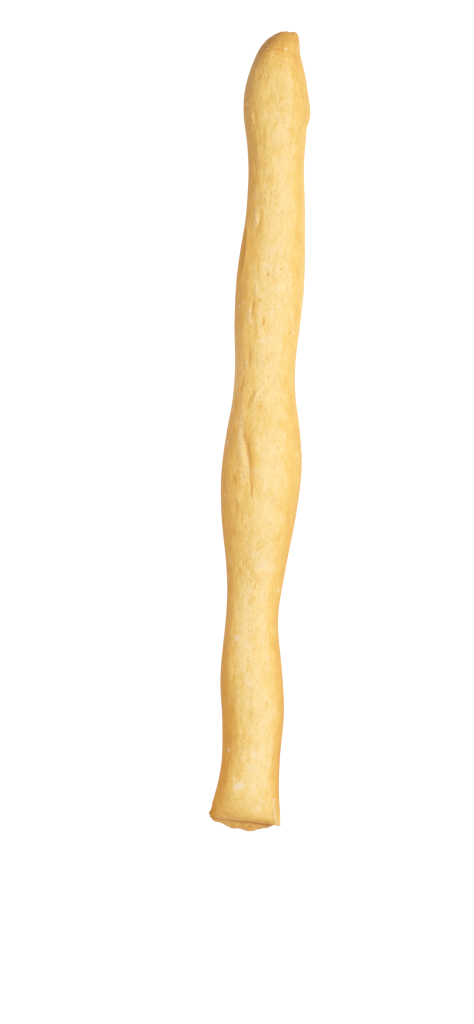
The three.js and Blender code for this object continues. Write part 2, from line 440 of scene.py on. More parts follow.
places, facings = skin()
print("skin:", len(places), "vertices, size in mm:", (places.max(0) - places.min(0)).round(2))

# %% [markdown]
# ## Painted relief
#
# A sculptor pushes and pulls the skin with a brush. The same can be done with paint: a vertex group says
# how much each vertex takes part, and a Displace modifier moves the skin by that much along its normals.
# Paint is easier to correct than brush strokes, and it can be used twice: where the dough was folded, the
# colour is darkened too, as painted shade in the crease.

# %% A helper that moves the skin where it is painted
CLEAR_OF_TRAY = (0.5, 2.2)  # the skin is still at the first height, and free to move at the second


def paint(name, weights):
    """Makes a vertex group with one weight for each vertex of the skin."""
    group = crust.vertex_groups.new(name=name)
    for number in np.flatnonzero(weights > 0):
        group.add([int(number)], float(weights[number]), "REPLACE")
    return group


def push_skin(name, heights, texture=None, texture_frame=None, direction="NORMAL"):
    """Moves the skin out by these heights in millimetres, and in where they are negative."""
    reach = float(np.abs(heights).max())
    for part, sign in (("out", 1), ("in", -1)):
        weights = np.clip(sign * heights / reach, 0, 1)
        if weights.max() > 0:
            group = paint(name + "_" + part, weights)
            displace = crust.modifiers.new(group.name, "DISPLACE")
            displace.vertex_group = group.name
            displace.direction = direction
            displace.strength = sign * reach * MM
            displace.mid_level = 0.5 if texture else 0
            if texture:
                displace.texture = texture
                displace.texture_coords = "OBJECT" if texture_frame else "LOCAL"
                displace.texture_coords_object = texture_frame
            bpy.ops.object.modifier_apply(modifier=displace.name)


free_of_tray = smooth_step(*CLEAR_OF_TRAY, places[:, UP])
print("part of the skin that is free of the tray:", round(float(free_of_tray.mean()), 2))

# %% [markdown]
# Some parts of the outline are smaller than a face of the cage: the lower lip's scallops, the corners of
# the mouth that bulge out where the blade squeezed them, and the nib at the tip, where the dough was
# pinched off. They are pushed into the skin. First the skin's own edge is measured in thin slices. What is
# missing to the wanted line is then pushed sideways, most at the edge and less and less further in. So each
# edge below has the axis and side that it is on, its line, how far in the push fades out, and how high up.

# %% Push edges of the skin onto lines
SLICE = 0.3  # how thin the slices are
WHOLE_SHARE = 0.3  # up to this share of its height, a push is whole


def push_edge(name, axis, side, line, fade, height):
    """Pushes the skin's edge on one side of an axis onto a line: whole at the first distance of fade from
    the edge, and not at all at the second, nor above a height."""
    other = ACROSS if axis == ALONG else ALONG
    slice_places = np.arange(line[0][0], line[0][-1], SLICE)
    edges = [(places[np.abs(places[:, other] - at) < SLICE / 2, axis] * side).max() for at in slice_places]
    skin_edge = side * np.interp(places[:, other], slice_places, edges)
    missing = np.interp(places[:, other], *line) - skin_edge
    nearness = smooth_step(fade[1], fade[0], side * (skin_edge - places[:, axis]))
    inside = (places[:, other] > line[0][0]) & (places[:, other] < line[0][-1])
    pushes = missing * nearness * inside * smooth_step(height, WHOLE_SHARE * height, places[:, UP])
    push_skin(name, pushes, direction="XYZ"[axis])
    print(name, "mm:", round(float(pushes.min()), 2), "to", round(float(pushes.max()), 2))


# %% The corners of the mouth, the lower lip, the knuckle, the beak and the nib
ANY_HEIGHT = 30.0
LEFT_CORNER = (
    (-72.9, -72.4, -71.95, -71.64, -71.0, -70.4, -69.8),
    (-6.44, -6.75, -6.96, -6.92, -6.6, -6.48, -6.34),
)
RIGHT_CORNER = ((-73.5, -73.2, -72.6, -71.95, -71.0, -70.0), (6.45, 6.49, 6.51, 6.47, 6.39, 6.26))
KNUCKLE = (
    (55.0, 56.8, 57.5, 58.5, 59.6, 60.5, 62.0, 64.0, 65.5),
    (5.48, 5.53, 5.68, 5.98, 6.11, 6.04, 5.8, 5.4, 5.18),
)
BEAK = ((68.0, 69.0, 70.0, 70.7, 71.3, 72.0, 73.0, 73.8), (4.5, 4.24, 3.92, 3.73, 3.65, 3.62, 3.5, 3.35))
NIB = (
    (-2.2, -1.14, -0.1, 0.94, 1.6, 2.1, 2.6, 2.85, 3.05),
    (73.7, 74.4, 74.86, 74.97, 74.83, 74.88, 74.97, 74.85, 74.5),
)
EDGES = (
    ("left_corner", ACROSS, -1, LEFT_CORNER, (0.1, 1.3), ANY_HEIGHT),
    ("right_corner", ACROSS, 1, RIGHT_CORNER, (0.1, 1.3), ANY_HEIGHT),
    ("scallops", ALONG, -1, LOWER_LIP, (0.2, 2.4), 3.2),
    ("knuckle", ACROSS, 1, KNUCKLE, (0.2, 2.0), ANY_HEIGHT),
    ("beak", ACROSS, 1, BEAK, (0.2, 1.5), ANY_HEIGHT),
    ("nib", ALONG, 1, NIB, (0.1, 0.9), ANY_HEIGHT),
)
for edge in EDGES:
    push_edge(*edge)
    places, facings = skin()

# %% [markdown]
# ## Hand-rolled unevenness
#
# Hands don't roll a perfect rope. There are broad soft swells a centimetre long, and two finer kinds that
# are drawn out along the stick, because the dough was stretched that way. All come from cloud textures. The
# finer ones are read in the frame of an empty that is scaled four times along the stick, which draws them
# out. The mouth, the flat underside and the outline from above stay as they are.

# %% Broad swells, and finer ones drawn out along the stick
ROUND_DOUGH = (-72.5, -68.0)  # nothing moves at the first place along the stick, and all from the second
DRAWN_OUT = 4
KEEPS_OUTLINE = 0.7  # the power by which the swells are weaker where the crust faces sideways
SWELLS = (  # name, height, size of a swell, and whether it is drawn out
    ("swells", 0.5, 7, False),
    ("drawn_out", 0.2, 1.9, True),
    ("puckers", 0.1, 0.8, True),
)


def clouds(name, size):
    """A soft cloud texture with spots of about this size, in millimetres."""
    texture = bpy.data.textures.new(name, "CLOUDS")
    texture.noise_scale = size * MM
    texture.noise_depth = 1
    return texture


bpy.ops.object.empty_add(location=(0, 0, 0))
rolling_frame = bpy.context.object
rolling_frame.name = "rolling_frame"
rolling_frame.scale = (1, DRAWN_OUT, 1)
bpy.ops.object.select_all(action="DESELECT")
bpy.context.view_layer.objects.active = crust
crust.select_set(True)

free = free_of_tray * smooth_step(*ROUND_DOUGH, places[:, ALONG])
free = free * np.abs(facings[:, UP]) ** KEEPS_OUTLINE
for name, height, size, drawn_out in SWELLS:
    push_skin(name, height * free, clouds(name, size), rolling_frame if drawn_out else None)
bpy.data.objects.remove(rolling_frame)
places, facings = skin()
print("after rolling, size in mm:", (places.max(0) - places.min(0)).round(2))

# %% [markdown]
# ## Folds
#
# Where the rolled dough overlapped itself it left folds. A fold has one gentle side and one steep side,
# and behind the gentle side the dough often stands up in a low roll. Each fold below is a line on the
# crust, given as places across and along the stick, with the gentle side on the left of someone who walks
# along it. Between folds the dough stands up in short ridges, which stayed paler.
#
# The places are where the camera sees them. Even a long lens shows what is higher a little further out from
# its middle, so each place is brought from where it is seen to where it is before anything is pressed in.

# %% What a fold and a ridge are
class Fold(NamedTuple):
    """A fold, with its lengths in millimetres and its strengths from 0 to 1."""

    path: tuple
    width: float  # of its gentle side
    depth: float
    steep: float = 1.3  # how many times steeper its other side is
    roll: float = 0.0  # how high the roll stands, as a share of the depth
    # Its brown line is painted shade in the crease, and its deeper gold is painted shade on the steep side.
    brown: float = 0.0  # how brown its line is
    line: float = 0.3  # how wide that line is
    gold: float = 0.0  # how much deeper gold the crust beside it is
    taper: float = 0.7  # a low one starts and ends abruptly


class Ridge(NamedTuple):
    """A ridge, in the same way."""

    path: tuple
    width: float  # half of what it covers
    height: float
    pale: float  # how much paler it stayed


# %% The folds
BELLY_FOLD = (
    (-1.5, -12.9), (-1.55, -12), (-1.6, -11.2), (-1.55, -10.2), (-1.72, -9.4), (-1.83, -8.5), (-1.87, -7.3),
    (-2.0, -5.85), (-2.25, -4.6), (-2.46, -3.36), (-2.88, -2.0), (-3.3, -0.65), (-3.5, 0.2), (-3.58, 1.2),
    (-3.45, 2.4),
)
LOBE = (
    (-6.05, 27.4), (-5.8, 28.5), (-5.45, 30.2), (-5.3, 31.9), (-5.1, 33.5), (-5.0, 35.2), (-4.98, 37.1),
    (-5.0, 39.5),
)
FOLDS = (
    # on the belly: the long fold, its narrow tail and a browner stretch of it
    Fold(BELLY_FOLD[2:], 1.0, 0.32, steep=2.2, roll=0.2, brown=0.75, line=0.5, gold=0.16, taper=0.7),
    Fold(BELLY_FOLD[:7], 0.35, 0.16, steep=1.3, brown=1.0, line=0.26, gold=0.08, taper=0.35),
    Fold(((-2.95, -2.1), (-3.2, -1.2), (-3.35, -0.5), (-3.5, 0.3)), 0.35, 0.04, brown=0.9, line=0.55),
    # the lobe of dough that lies against the left side
    # The lobe's wide brown line darkens its side that faces away from the lamp: painted shade.
    Fold(LOBE, 0.8, 0.55, steep=2.5, brown=0.75, line=1.5, taper=0.5),
    # small ones from the belly towards the knob, most of them on the left
    Fold(
        ((-4.6, -10.3), (-4.55, -9.6), (-4.8, -8.6), (-5.2, -7.7)),
        0.5, 0.1, roll=0.3, brown=0.9, line=0.5,
    ),
    Fold(((-4.36, -16), (-4.26, -14.8), (-3.95, -13.1)), 0.5, 0.12, brown=0.5, line=0.42),
    Fold(((-5.4, 3.2), (-5.3, 4.95), (-5.3, 6.4)), 0.45, 0.2, brown=1.0, line=0.38),
    Fold(
        ((-3.3, 3.8), (-3.1, 4.7), (-2.7, 5.8), (-2.39, 6.7), (-2.0, 7.8)),
        0.55, 0.18, brown=0.45, line=0.35,
    ),
    Fold(
        ((-4.57, 6.9), (-4.4, 8.3), (-4.3, 8.95), (-4.15, 9.8), (-4.0, 10.5)),
        0.4, 0.18, brown=0.9, line=0.28,
    ),
    Fold(
        ((-3.3, 11.2), (-3.25, 12.4), (-3.1, 13.5), (-2.95, 15), (-3.3, 16)),
        0.55, 0.17, brown=0.6, line=0.42,
    ),
    Fold(
        ((-3.1, 20.6), (-3.05, 22.3), (-2.95, 23), (-2.7, 23.8), (-2.8, 25.2)),
        0.4, 0.17, brown=0.85, line=0.28,
    ),
    Fold(
        ((-3.0, 36.2), (-2.9, 37.1), (-2.5, 38.5), (-1.97, 40.2), (-2.28, 40.9), (-2.18, 41.8)),
        0.45, 0.12, brown=0.45,
    ),
    Fold(((1.3, 41.6), (1.8, 40.95), (2.3, 40.6)), 0.3, 0.06, brown=0.45, line=0.18),
    Fold(((-2.7, 32.2), (-2.7, 33.4)), 0.4, 0.08, brown=0.3, line=0.3),
    # across and along the tip, where the dough was pinched
    Fold(
        ((-3.9, 69.5), (-3.0, 71), (-1.97, 71.4), (-0.7, 71.55), (0.42, 71.5), (1.8, 71.3), (2.7, 70.3)),
        0.5, 0.1, steep=2, brown=0.6, line=0.35,
    ),
    Fold(((0.45, 71.2), (0.4, 72.3), (0.45, 73.3), (0.6, 75.2)), 0.4, 0.12, brown=0.6, line=0.35),
    # on the knob
    Fold(
        ((-4.4, 65.5), (-4.05, 65.8), (-3.5, 66.4), (-3.2, 67.2), (-3.0, 68.1)),
        0.4, 0.15, brown=0.5, line=0.2,
    ),
    Fold(((-4.3, 66.2), (-3.95, 67.2), (-3.9, 68.2)), 0.3, 0.08, brown=0.3, line=0.2),
    Fold(((-2.1, 61.2), (-1.55, 62.4), (-0.85, 64)), 0.4, 0.08, brown=0.35, line=0.2),
    Fold(((1.05, 57.1), (1.36, 58.3), (1.55, 59.1)), 0.4, 0.08, brown=0.4, line=0.2),
    Fold(((-5.15, 57.6), (-5.15, 59.6)), 0.4, 0.1, brown=0.4),
    Fold(((-4.1, 57.2), (-4.0, 58.8), (-4.25, 60)), 0.5, 0.14, brown=0.45, line=0.4),
    # below the belly, and at the corners of the mouth
    Fold(((-4.55, -20.2), (-4.75, -18.6)), 0.32, 0.12, brown=1.0, line=0.26),
    Fold(((5.6, -73.6), (5.15, -72.3), (4.95, -70.2)), 0.35, 0.06, brown=0.45, line=0.18),
    Fold(((6.3, -73.2), (6.0, -72.4), (5.85, -71.2)), 0.3, 0.08, brown=0.7, line=0.2),
    Fold(((-5.6, -72.9), (-6.14, -71.8), (-6.3, -70.7)), 0.4, 0.2, brown=0.5, line=0.18),
)
print("folds:", len(FOLDS), "the deepest, mm:", max(fold.depth for fold in FOLDS))

# %% The ridges
RIDGES = (
    Ridge(((-3.2, -10), (-3.15, -7.6), (-3.2, -5.5)), 0.8, 0.03, 0.12),
    Ridge(
        ((-3.5, -7), (-3.7, -5), (-3.88, -3.4), (-4.1, -1.7), (-4.15, 0), (-4.1, 2.5), (-4.1, 5.5)),
        0.68, 0.08, 0.85,
    ),
    Ridge(((-2.2, 2), (-1.95, 3.3), (-1.75, 4.6)), 0.4, 0.08, 0.4),
    Ridge(((-2.3, 5.4), (-1.9, 6.3), (-1.35, 7.2), (-1.1, 8.2)), 0.35, 0.1, 0.5),
    Ridge(((-3.6, 10.9), (-3.75, 12.5), (-3.75, 14)), 0.4, 0.14, 0.8),
    Ridge(((-1.6, 12), (-1.5, 15)), 0.6, 0.06, 0.3),
    Ridge(((-3.5, 19.7), (-3.5, 21.5), (-3.6, 23.5)), 0.35, 0.14, 0.9),
    Ridge(((-2.3, 24.9), (-2.5, 26.5), (-2.45, 28.2)), 0.4, 0.12, 0.8),
    Ridge(((-1.5, 26.6), (-1.3, 28.2)), 0.35, 0.06, 0.4),
    Ridge(((-3.35, 38), (-3.15, 39.3), (-3.0, 40.9), (-3.3, 42.4)), 0.5, 0.12, 0.9),
    Ridge(((-3.4, 42.5), (-3.3, 44.5), (-3.4, 46.5)), 0.5, 0.04, 0.5),
    Ridge(((-4.4, 57.2), (-4.6, 58.6), (-4.95, 60.2)), 0.36, 0.13, 0.75),
    Ridge(((-3.55, 65.9), (-3.5, 67), (-3.45, 68)), 0.25, 0.08, 0.4),
    Ridge(((6.2, -73.8), (5.85, -72.9), (5.5, -72.1), (5.25, -71), (5.15, -69)), 0.42, 0.15, 1.0),
    # The pale line along the upper lip's edge is a painted highlight.
    Ridge(((-5.9, -72.35), (-4.2, -72.47), (-2.2, -72.6)), 0.16, 0.03, 1.2),
)
print("ridges:", len(RIDGES), "the highest, mm:", max(ridge.height for ridge in RIDGES))

# %% Lay a fold on the crust, and measure from it
PATH_STEP = 0.4
SHORTEST_PATH = 3  # places that even the shortest path has
SMOOTHING = 5  # how many steps of a path are averaged, to round its bends
lens_centre = np.array(camera.location[:2]) / MM


def smoothed(line):
    """A line with its bends rounded, and its ends where they were."""
    padded = np.concatenate([[line[0]] * (SMOOTHING // 2), line, [line[-1]] * (SMOOTHING // 2)])
    return np.convolve(padded, np.ones(SMOOTHING) / SMOOTHING, "valid")


def seen_spread(heights):
    """How much further out than the stick's two ends the camera sees what is at these heights."""
    return (CAMERA_HEIGHT - ENDS_HEIGHT) / (CAMERA_HEIGHT - heights * MM)


def nearest_seen(across, along):
    """The vertex that the camera sees at this place."""
    seen = lens_centre + (places[:, :2] - lens_centre) * seen_spread(places[:, 2:])
    away = np.hypot(seen[:, 0] - across, seen[:, 1] - along)
    return np.argmin(np.where(facings[:, UP] > 0, away, np.inf))


def lay_on_crust(path):
    """The line on the crust that is seen along a path, and which way the crust faces at each step."""
    corners = np.array(path)
    lengths = np.hypot(*(corners[1:] - corners[:-1]).T)
    reached = np.concatenate([[0], np.cumsum(lengths)])
    steps = np.linspace(0, reached[-1], max(SHORTEST_PATH, round(reached[-1] / PATH_STEP) + 1))
    across = smoothed(np.interp(steps, reached, corners[:, 0]))
    along = smoothed(np.interp(steps, reached, corners[:, 1]))
    nearest = [nearest_seen(x, y) for x, y in zip(across, along)]
    heights = smoothed(places[nearest, UP])
    spread = seen_spread(heights)
    true_across = lens_centre[0] + (across - lens_centre[0]) / spread
    true_along = lens_centre[1] + (along - lens_centre[1]) / spread
    return np.column_stack([true_across, true_along, heights]), facings[nearest]


def measure_from(path, reach):
    """The vertices within reach of a path, their distance to its left, and their share of its length."""
    line, line_facings = lay_on_crust(path)
    low = line.min(0) - reach
    high = line.max(0) + reach
    near = np.flatnonzero(((places > low) & (places < high)).all(1))
    best = np.full(len(near), np.inf)
    side = np.zeros(len(near))
    share = np.zeros(len(near))
    for number in range(len(line) - 1):
        start = line[number]
        step = line[number + 1] - start
        onto = np.clip((places[near] - start) @ step / (step @ step), 0, 1)
        offset = places[near] - start - onto[:, None] * step
        leftwards = np.cross(line_facings[number], step / np.linalg.norm(step))
        distance = np.linalg.norm(offset, axis=1)
        closer = distance < best
        best[closer] = distance[closer]
        side[closer] = (offset @ leftwards)[closer]
        share[closer] = (number + onto[closer]) / (len(line) - 1)
    beside = np.sign(side) * best
    return near, beside, share


# %% Press all folds into the crust, and raise the ridges
FOLD_REACH = 4  # how many widths from its line a fold is felt
BOTTOM_PLACE = 0.2  # widths from a fold's line to its lowest place
ROLL_PLACE = 1.7  # widths from a fold's line to the top of its roll
LINE_MIDDLE = 0.5  # the brown runs from a fold's line to one line's width beside it
FAINTEST = 0.01  # so that a fold without brown doesn't divide by nought
# Painted shade on a fold's steep side, which faces away from the lamp:
SHADE_BESIDE_PLACE = 0.85  # how far from a fold's line, on its steep side, the crust is most golden
SHADE_BESIDE_WIDTH = 0.6
RIDGE_REACH = 3  # and the same for a ridge
RIDGE_TAPER = 0.7
FAR = 9.0  # no mark shows as far away as this


def bell(values):
    """1 at nought, and less and less to both sides."""
    return np.exp(-(values**2))


fold_heights = np.zeros(len(places))
paled_and_lit = np.zeros(len(places))
fold_line_shade = np.zeros(len(places))
line_nearness = np.full(len(places), np.inf)
line_left = np.full(len(places), FAR)
shade_beside_fold = np.zeros(len(places))
for fold in FOLDS:
    near, left, share = measure_from(fold.path, FOLD_REACH * fold.width)
    strength = np.sin(np.pi * share) ** fold.taper
    from_bottom = left / fold.width - BOTTOM_PLACE
    slope = np.where(from_bottom > 0, 1, 1 / fold.steep)
    fold_heights[near] -= fold.depth * strength * bell(from_bottom / slope)
    fold_heights[near] += fold.depth * fold.roll * strength * bell(left / fold.width - ROLL_PLACE)
    # The brown of a fold's line is painted shade in its crease.
    in_lines = left / fold.line
    from_line = np.abs(in_lines - LINE_MIDDLE) / (fold.brown * strength + FAINTEST)
    nearer = from_line < line_nearness[near]
    line_nearness[near[nearer]] = from_line[nearer]
    line_left[near[nearer]] = in_lines[nearer]
    fold_line_shade[near[nearer]] = fold.brown * strength[nearer]
    gold = fold.gold * strength * bell((left + SHADE_BESIDE_PLACE) / SHADE_BESIDE_WIDTH)
    shade_beside_fold[near] = np.maximum(shade_beside_fold[near], gold)
for ridge in RIDGES:
    near, left, share = measure_from(ridge.path, RIDGE_REACH * ridge.width)
    on_ridge = np.sin(np.pi * share) ** RIDGE_TAPER * bell(left / ridge.width)
    fold_heights[near] += ridge.height * on_ridge
    paled_and_lit[near] = np.maximum(paled_and_lit[near], ridge.pale * on_ridge)
push_skin("folds", fold_heights * free_of_tray)
places, facings = skin()
print("deepest fold, mm:", round(float(-fold_heights.min()), 2))
print("highest roll, mm:", round(float(fold_heights.max()), 2))

# %% [markdown]
# ## Where the crust has its marks
#
# The material needs to know where the folds, the cut, the flour and the pores are. Each is kept as an
# attribute: one number per vertex, that the material can read by name.
#
# A thin line can't be painted on vertices that stand further apart than it is wide: it would come out
# broken. So what is kept is not the line but the distance from it, which changes evenly and is true between
# vertices too, and the material draws the line from that. The edges of the flour spots, the pores and the
# cut are kept in the same way. Like the folds, the spots are placed where the camera sees them.

# %% Flour and pores: place across, place along, size and strength
FLOUR = (
    (-3.2, -38.7, 0.55, 1.0), (-1.24, -40.0, 0.7, 0.4), (-0.2, -47.1, 0.8, 0.5), (-3.74, -59.95, 0.4, 0.7),
    (1.1, -60.6, 0.8, 0.35), (2.2, -60.7, 0.4, 0.3), (0.4, -62.8, 0.8, 0.4), (-2.7, -65.1, 0.4, 0.5),
    (-1.3, -66.35, 0.8, 1.0), (-2.0, -66.75, 0.65, 0.9), (-0.7, -66.45, 0.4, 0.7),
    (5.05, -68.8, 0.35, 0.9), (2.5, -69.35, 0.7, 0.4), (2.3, -70.6, 0.6, 0.4), (0.94, -24.8, 1.5, 0.5),
    (3.0, -25.2, 1.1, 0.4), (-0.3, -23.1, 0.9, 0.4), (4.16, -29.4, 0.45, 0.7), (6.49, -3.77, 0.35, 0.5),
    (6.86, -5.54, 0.25, 0.7), (-6.59, -2.4, 0.35, 0.6), (-6.59, -12.3, 0.35, 0.45), (4.68, 18.7, 0.35, 0.9),
    (4.89, 19.76, 0.3, 0.4), (-5.9, 17.6, 0.3, 0.4), (-4.78, 24.0, 0.3, 0.5), (-5.55, 23.3, 0.22, 0.8),
    (0.94, 71.64, 0.4, 0.7), (0.63, 22.5, 0.45, 0.7), (-0.4, 22.2, 0.3, 0.5), (-1.5, 22.15, 0.35, 0.5),
    (-0.93, 16.85, 0.7, 0.5), (0.2, 17.4, 0.5, 0.35), (-3.1, -7.3, 0.35, 0.7), (-3.2, -8.1, 0.3, 0.6),
    (-1.76, 44.1, 0.5, 0.3), (-5.8, 61.2, 0.2, 0.6), (-0.7, 31.2, 0.6, 0.45), (0.3, 34.2, 0.8, 0.3),
    (3.3, 24.2, 0.7, 0.35), (1.4, 31.1, 0.5, 0.4), (1.9, -4.5, 0.4, 0.3), (2.3, -3.2, 0.5, 0.3),
    (-0.9, -7.6, 0.8, 0.35), (0.2, -8.4, 0.9, 0.3), (-3.4, 50.8, 0.5, 0.2), (-1.7, 46.2, 0.5, 0.3),
)
PORES = (
    (-0.68, 4.92, 0.3, 0.9), (-0.37, 29.5, 0.3, 0.9), (1.83, 30.57, 0.25, 1.0), (-1.2, 30.6, 0.2, 0.5),
    (-0.1, 22.8, 0.25, 0.6), (-1.76, 24.5, 0.38, 0.85), (4.33, 18.8, 0.3, 0.8), (-1.0, -43.2, 0.25, 0.5),
    (-0.1, -48.1, 0.35, 0.4), (3.0, -50.7, 0.3, 0.3), (3.05, -51.3, 0.35, 0.45), (-1.87, -47.9, 0.25, 0.5),
    (-3.4, -51.2, 0.3, 0.5), (-3.74, -63.3, 0.35, 0.5), (4.47, 36.2, 0.22, 0.6), (0.42, 71.55, 0.35, 0.8),
    (-2.7, 73.0, 0.5, 0.25), (0.57, 62.4, 0.5, 0.4), (-5.5, 20.3, 0.35, 0.6), (-2.05, 61.6, 0.35, 0.4),
    (3.0, -3.0, 0.4, 0.35), (2.0, -11.8, 0.22, 0.5), (0.5, 9.9, 0.3, 0.3), (0.9, 70.3, 0.22, 0.5),
    (0.7, 69.4, 0.22, 0.5), (0.9, 68.1, 0.25, 0.5), (-0.95, 21.3, 0.18, 0.8), (-0.9, 21.05, 0.21, 0.9),
    (-0.88, 20.8, 0.24, 1.0), (-0.9, 20.5, 0.22, 1.0), (-0.95, 20.2, 0.18, 0.85), (-1.0, 19.9, 0.15, 0.6),
)


def keep(name, values):
    """Keeps one number per vertex under this name."""
    attribute = crust.data.attributes.new(name, "FLOAT", "POINT")
    attribute.data.foreach_set("value", values.astype(np.float32))


def keep_spots(name, marks):
    """Keeps how far each vertex is from the nearest mark, in sizes of it, and how strong that mark is. A
    mark on a steep side is made larger, as the camera sees it narrowed there."""
    nearest = np.full(len(places), FAR)
    strengths = np.zeros(len(places))
    for across, along, size, strength in marks:
        middle = nearest_seen(across, along)
        away = np.linalg.norm(places - places[middle], axis=1) * facings[middle, UP] ** 0.5 / size
        nearer = away < nearest
        nearest[nearer] = away[nearer]
        strengths[nearer] = strength
    keep(name + "_away", nearest)
    keep(name, strengths)


keep_spots("flour", FLOUR)
keep_spots("pores", PORES)
print("flour spots:", len(FLOUR), "pores:", len(PORES))

# %% The lips, the cut and the lines of the folds
FAR_FROM_LIP = 3
FACES_OUT = (0.2, 0.5)  # what faces out of the end by less is crust, and by more it is the cut
LAST_CRUST = 0.8  # about so far from the lip, where the crust curls down to it, its colour is changed: a little scorch and painted shade, and painted light against the curl's own shade
LIP_HEIGHTS = (0.3, 1.5)  # none of that below the first height, and all above the second

x, y, z = places.T
beyond_lip = upper_lip(x) - y
forward = smooth_step(*FACES_OUT, -facings[:, ALONG])
near_lip = bell(np.minimum(beyond_lip, 0) / LAST_CRUST) * smooth_step(*LIP_HEIGHTS, z)
keep("beyond_lip", np.clip(beyond_lip, -FAR_FROM_LIP, FAR_FROM_LIP))
keep("above_rim", np.clip(y - lower_lip(x), -FAR_FROM_LIP, FAR_FROM_LIP))
keep("forward", forward)
keep("fold_line_shade", fold_line_shade)
keep("line_left", np.clip(line_left, -FAR, FAR))
print("part of the skin in the cut:", round(float(forward.mean()), 3))

# %% [markdown]
# ## How the crust is coloured, with painted light and shade
#
# No stick bakes evenly. The knob is toasted, and its tip scorched. The left of the knob and of the lobe is
# darkened further: painted shade on the side away from the lamp, as is the band along the tip's upper left.
# Near the chopped end the sides are orange, most of all in the thin corner that the blade squeezed out; on
# the left, the side away from the lamp, this is partly painted warm shade. Elsewhere there are places of
# deeper and of paler gold. Those along the whole side are painted shade on the left and painted light on the
# right, and so are the deeper tip, the paler waist and the paler crust by the lip.
# Each of these goes by where the crust is and by which way it faces. A share that says how far it faces to
# one side is raised to a power: the higher that is, the closer the colour keeps to the very edge. Where a
# name below stands for a pair of places, the colour starts at the first and is whole from the second.

# %% Helpers for places on the crust
leftward = np.clip(-facings[:, ACROSS], 0, 1)
rightward = np.clip(facings[:, ACROSS], 0, 1)
faces_up = facings[:, UP] > 0


def halfway(shares):
    """1 where a share is a half, and 0 where it is nothing or all."""
    return shares * (1 - shares) * 4


def from_oval(across, along, half_width, half_length):
    """How far each vertex is from the middle of an oval, as a share of its size."""
    return np.hypot((x - across) / half_width, (y - along) / half_length)


print("part of the skin that faces up:", round(float(faces_up.mean()), 3))

# %% Toasted and scorched places, with painted shade on the left, at the tip and under the lip
KNOB = (48, 64)
LEFT_PAINTED_SHADE = 0.82  # how strongly the left of the knob is darkened: painted shade on the side away from the lamp
LEFT_PAINTED_SHADE_MOST = 0.6  # what that is cut off at, before it is shared out along the stick
LEFT_PAINTED_SHADE_ALONG = ((5, 25, 40, 58, 66, 74), (0.0, 0.2, 0.15, 0.5, 0.95, 0.7))
TOASTED_KNOB = 0.07  # all over the knob, but less on its left shoulder
# The lobe faces left, away from the lamp, so its darkening is painted shade.
LOBE_PAINTED_SHADE = 0.38
LOBE_OVAL = (-5.4, 34, 0.55, 5)
# Where the crust curls down to the upper lip it is darkened a little: scorch and painted shade.
LIP_SCORCH_AND_SHADE = 0.06

# Scorched spots, partly painted shade: the band along the tip's upper left faces away from the lamp, and the
# spots at the right end of the upper lip are painted shadow under it.
# place across, place along, size and strength
SCORCHED_AND_SHADED_SPOTS = (
    (-4.7, 69.0, 1.1, 0.25), (-3.9, 70.6, 1.1, 0.45), (-3.2, 71.9, 1.1, 0.75), (-2.5, 72.8, 1.0, 1.0),
    (-1.8, 73.5, 0.9, 1.0), (-1.0, 74.2, 0.7, 0.95), (-0.2, 74.8, 0.5, 0.85), (0.5, 75.0, 0.4, 0.4),
    (-2.2, 72.2, 1.2, 0.35), (-1.2, 73.4, 1.0, 0.3),
    (-6.5, -69.8, 0.45, 0.25), (-6.7, -70.8, 0.45, 0.35), (-6.9, -71.8, 0.5, 0.45), (-6.6, -72.7, 0.5, 0.4),
    (-2.9, -49.8, 1.0, 0.1), (1.9, 10.0, 0.6, 0.08), (5.0, -73.5, 0.7, 0.4), (-6.2, -73.1, 0.6, 0.3),
    (4.3, -73.1, 0.6, 0.25),
)

on_knob = smooth_step(*KNOB, y)
# The left side is darkened towards toast brown: painted shade, as the lamp is on the right. The knob's own
# toast is real.
toasted_and_shaded = np.minimum(LEFT_PAINTED_SHADE * leftward**2.5, LEFT_PAINTED_SHADE_MOST) * np.interp(y, *LEFT_PAINTED_SHADE_ALONG)
toasted_and_shaded = np.maximum(toasted_and_shaded, TOASTED_KNOB * on_knob * (1 - halfway(leftward)))
toasted_and_shaded = np.maximum(toasted_and_shaded, LOBE_PAINTED_SHADE * bell(from_oval(*LOBE_OVAL) ** 2) * faces_up)
scorched_and_shaded = LIP_SCORCH_AND_SHADE * near_lip
for across, along, size, strength in SCORCHED_AND_SHADED_SPOTS:
    scorched_and_shaded = np.maximum(scorched_and_shaded, strength * bell(from_oval(across, along, size, size)))
keep("toasted_and_shaded", toasted_and_shaded)
keep("scorched_and_shaded", scorched_and_shaded)
print("most toasted:", round(float(toasted_and_shaded.max()), 2), "most scorched:", round(float(scorched_and_shaded.max()), 2))

# %% Deeper and paler gold, with painted shade and painted light
BAKED_KNOB = 0.08
# The tip beyond its pinch slopes away from the lamp. Its deeper gold is painted shade, with less on the
# right, which faces the lamp.
TIP_PAINTED_SHADE = 0.2
TIP_PLACES = (66, 70.5)
TIP_RIGHT = 0.8  # the right of the tip has this much less of it
CHOPPED_PLACES = (-25, -60)
# Near the chopped end the left side is made deeper gold and the right paler: painted shade and painted
# light.
CHOPPED_LEFT_PAINTED_SHADE = 0.25
CHOPPED_RIGHT_PAINTED_LIGHT = 0.04
# By the upper lip the crust is made paler: painted light against the shade of its curl.
LIP_PAINTED_LIGHT = 0.08
# The left flank of the waist is made paler: painted light, as if its top were flatter.
WAIST_PAINTED_LIGHT = 0.18
WAIST = (-36, 11)  # middle and reach, along the stick
PALE_KNOB = 0.06
# The right edge is made paler: painted light.
RIGHT_EDGE_PAINTED_LIGHT = 0.3
RIGHT_EDGE_LIGHT_PLACES = (-15, 15)

